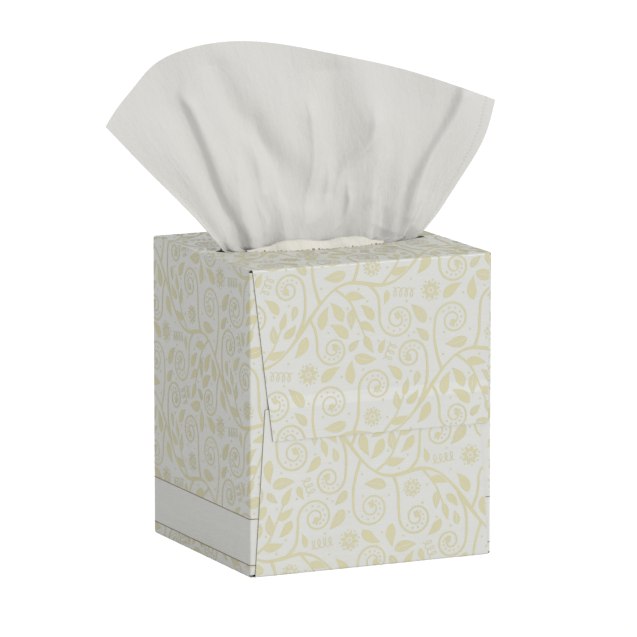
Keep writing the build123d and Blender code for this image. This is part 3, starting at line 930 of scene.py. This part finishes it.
def tissue_finish(name, dark, pale):
    """Soft white paper: cloudy colour, a crinkle in two sizes, and a row of faint dots near one edge,
    where the plies are pressed together."""
    tissue = Finish(name)
    over = tissue.node("ShaderNodeUVMap", {"uv_map": "sheet"}, {})
    cloud = tissue.noise(over, 14.0, 4.0)
    crepe = tissue.noise(tissue.stretched(over, (260.0, 1500.0, 1.0)), 1.0, 3.0, 0.6)
    wrinkle = tissue.noise(tissue.stretched(over, (90.0, 34.0, 1.0)), 1.0, 5.0, 0.62)
    fibre = tissue.noise(over, 2600.0, 2.0)
    u, v, _ = tissue.apart(over)
    row = (DOT_HALF - (u - DOT_ROW).size()).above(0.0)
    spot = tissue.node("ShaderNodeMath", {"operation": "SINE"}, {0: v * DOT_PITCH}).above(0.2)
    dots = row * spot
    shade = cloud * 0.6 + fibre * 0.25 + crepe * 0.15 - dots * 0.5
    tissue.give(Base_Color=tissue.mix(shade, dark, pale), Roughness=0.93, Specular_IOR_Level=0.25)
    soft = tissue.bump(wrinkle, 0.0022, 0.5)
    tissue.give(Normal=tissue.bump(crepe * 0.6 + fibre * 0.4 - dots, 0.0002, 0.55, soft))
    return tissue.material


def sheet_piece(name, points, node, finish):
    """A thin sheet from a grid of points, with its width and length as a map, a real thickness, and its
    cut size."""
    rows, columns = points.shape[:2]
    faces = grid_faces(rows, columns)
    piece = surface(name, points.reshape(-1, 3), faces, finish)
    wide = np.broadcast_to(np.linspace(0, SHEET_WIDE * MM, columns), (rows, columns)).ravel()
    run = np.linalg.norm(np.diff(points[:, columns // 2], axis=0), axis=1)
    long = np.broadcast_to(np.concatenate([[0], np.cumsum(run)])[:, None] * MM, (rows, columns)).ravel()
    layer = piece.data.uv_layers.new(name="sheet")
    corners = faces.ravel()
    layer.data.foreach_set("uv", np.stack([wide[corners], long[corners]], axis=1).astype(np.float32).ravel())
    ends = np.empty(2 * len(piece.data.edges), np.int32)
    piece.data.edges.foreach_get("vertices", ends)
    row, column = np.divmod(ends.reshape(-1, 2), columns)
    ends_cut = (row == 0).all(1) | (row == rows - 1).all(1)
    sides_cut = (column == 0).all(1) | (column == columns - 1).all(1)
    piece.data.edges.foreach_set("use_edge_sharp", ends_cut | sides_cut)
    wall = piece.modifiers.new("thickness", "SOLIDIFY")
    wall.thickness, wall.offset = PLIES * MM, 0.0
    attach(piece, "root")
    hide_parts(node)
    a = points[1:, :-1] - points[:-1, :-1]
    b = points[:-1, 1:] - points[:-1, :-1]
    area = np.linalg.norm(np.cross(a, b), axis=2).sum()
    print(name, "covers", round(area / (SHEET_WIDE * SHEET_LONG), 2), "of its flat size")


# %% [markdown]
# The drawn sheet is one grid from its top edge down to where it lies on the stack, and its first level
# inside the box takes over from the last one of the fan. Of the next sheet only a short fold stands up into
# the opening, and the rest lies round the stack.

# %% Make the drawn tissue
across = np.linspace(0, 1, 300)
above = fan(across, np.linspace(1, 0, 92))
below = inside(across, DRAWN_ROWS, (NECK_LEFT + NECK_RIGHT) / 2, 62, gathers)
drawn = np.concatenate([above, below])
drawn_finish = tissue_finish("drawn_sheet", colour(213, 212, 208), colour(226, 225, 221))
sheet_piece("drawn_tissue", drawn, "pulled_tissue", drawn_finish)

# %% Make the next tissue
NEXT_MIDDLE = -11.0  # how far right of the opening's middle the fold stands, so it is to the left
across = np.linspace(0, 1, 240)


def soft_waves(s):
    """Two or three wide waves with a little of the gathers over them."""
    return 1.4 * np.sin(2 * np.pi * 2.2 * s + 0.4) + 0.5 * gathers(s)


waiting = inside(across, NEXT_ROWS, NEXT_MIDDLE, 190, soft_waves)
# The next sheet is the same tissue as the drawn one in lighter, creamier colours: painted light and painted
# warm reflection, where it lies in the shade of the opening.
next_finish_painted_light = tissue_finish("next_sheet_painted_light", colour(231, 228, 218), colour(245, 243, 234))
sheet_piece("next_tissue_sheet", waiting, "next_tissue", next_finish_painted_light)

# %% [markdown]
# ## Floor, light and camera
# The box stands on a plain white floor. The floor and the world look white to the camera, and still send
# only a plain level of light to the object. One broad lamp from the front and a little to the right lifts
# the closed end.

# %% The floor
WHITE, FLOOR_GLOW = 1.1, 0.95  # the strength that looks pure white, and its share on the floor
floor_finish = Finish("white_floor")
floor_finish.give(Base_Color=(0.82, 0.82, 0.82, 1.0), Roughness=0.9)
seen = floor_finish.node("ShaderNodeLightPath", {}, {})
straight = Wire(floor_finish, seen.socket.node.outputs["Is Camera Ray"])
glow = floor_finish.node("ShaderNodeEmission", {}, {"Color": (1.0, 1.0, 1.0, 1.0), "Strength": WHITE})
lit = Wire(floor_finish, floor_finish.shader.outputs[0])
both = floor_finish.node("ShaderNodeMixShader", {}, {0: straight * FLOOR_GLOW, 1: lit, 2: glow})
floor_finish.tree.links.new(both.socket, floor_finish.tree.nodes["Material Output"].inputs["Surface"])
FLOOR_HALF, FLOOR_DROP = 6000.0, 0.05
side = np.linspace(-FLOOR_HALF, FLOOR_HALF, 3)
gx, gy = np.meshgrid(side, side)
floor_points = np.stack([gx.ravel(), gy.ravel(), np.full(9, -FLOOR_DROP)], axis=1)
floor = surface("floor", floor_points, grid_faces(3, 3), floor_finish.material, False)

# %% The world
SKY = 0.665
world = bpy.data.worlds.new("studio")
bpy.context.scene.world = world
world.use_nodes = True
sky = world.node_tree
paint = sky.nodes["Background"]
paint.inputs["Color"].default_value = (1, 1, 1, 1)
paint.inputs["Strength"].default_value = SKY
white = sky.nodes.new("ShaderNodeBackground")
white.inputs["Strength"].default_value = WHITE
path = sky.nodes.new("ShaderNodeLightPath")
blend = sky.nodes.new("ShaderNodeMixShader")
sky.links.new(path.outputs["Is Camera Ray"], blend.inputs[0])
sky.links.new(paint.outputs[0], blend.inputs[1])
sky.links.new(white.outputs[0], blend.inputs[2])
sky.links.new(blend.outputs[0], sky.nodes["World Output"].inputs["Surface"])
print("the world lights the box with", SKY, "and looks white")

# %% The lamp
LAMP_POWER = 1.13
LAMP_SPREAD, LAMP_TIP, LAMP_TURN = 22, 74, 26  # degrees
lamp = bpy.data.lights.new("key", "SUN")
lamp.energy = LAMP_POWER
lamp.angle = np.radians(LAMP_SPREAD)
key = bpy.data.objects.new("key", lamp)
bpy.context.scene.collection.objects.link(key)
key.rotation_euler = (np.radians(LAMP_TIP), 0, np.radians(LAMP_TURN))
print("the lamp is", LAMP_TIP, "degrees down from overhead")

# %% [markdown]
# The camera's place was worked out from the box's own edges as they look in the picture. It is a long lens
# from the front and the left, a little above the box, so the upright edges stay almost parallel.

# %% The camera
CAMERA_PLACE = (-1.0155, -2.1675, 0.5200)
CAMERA_DOWN, CAMERA_TURN = 9.987, -25.08  # degrees
shot = bpy.data.cameras.new("camera")
shot.lens, shot.sensor_width = 320.0, 36.0
shot.clip_start, shot.clip_end = 0.1, 50.0
camera = bpy.data.objects.new("camera", shot)
bpy.context.scene.collection.objects.link(camera)
camera.location = CAMERA_PLACE
camera.rotation_euler = (np.radians(90 - CAMERA_DOWN), 0, np.radians(CAMERA_TURN))
bpy.context.scene.camera = camera
bpy.context.scene.view_settings.view_transform = "Standard"
print("the camera looks down by", CAMERA_DOWN, "degrees, from", CAMERA_PLACE)
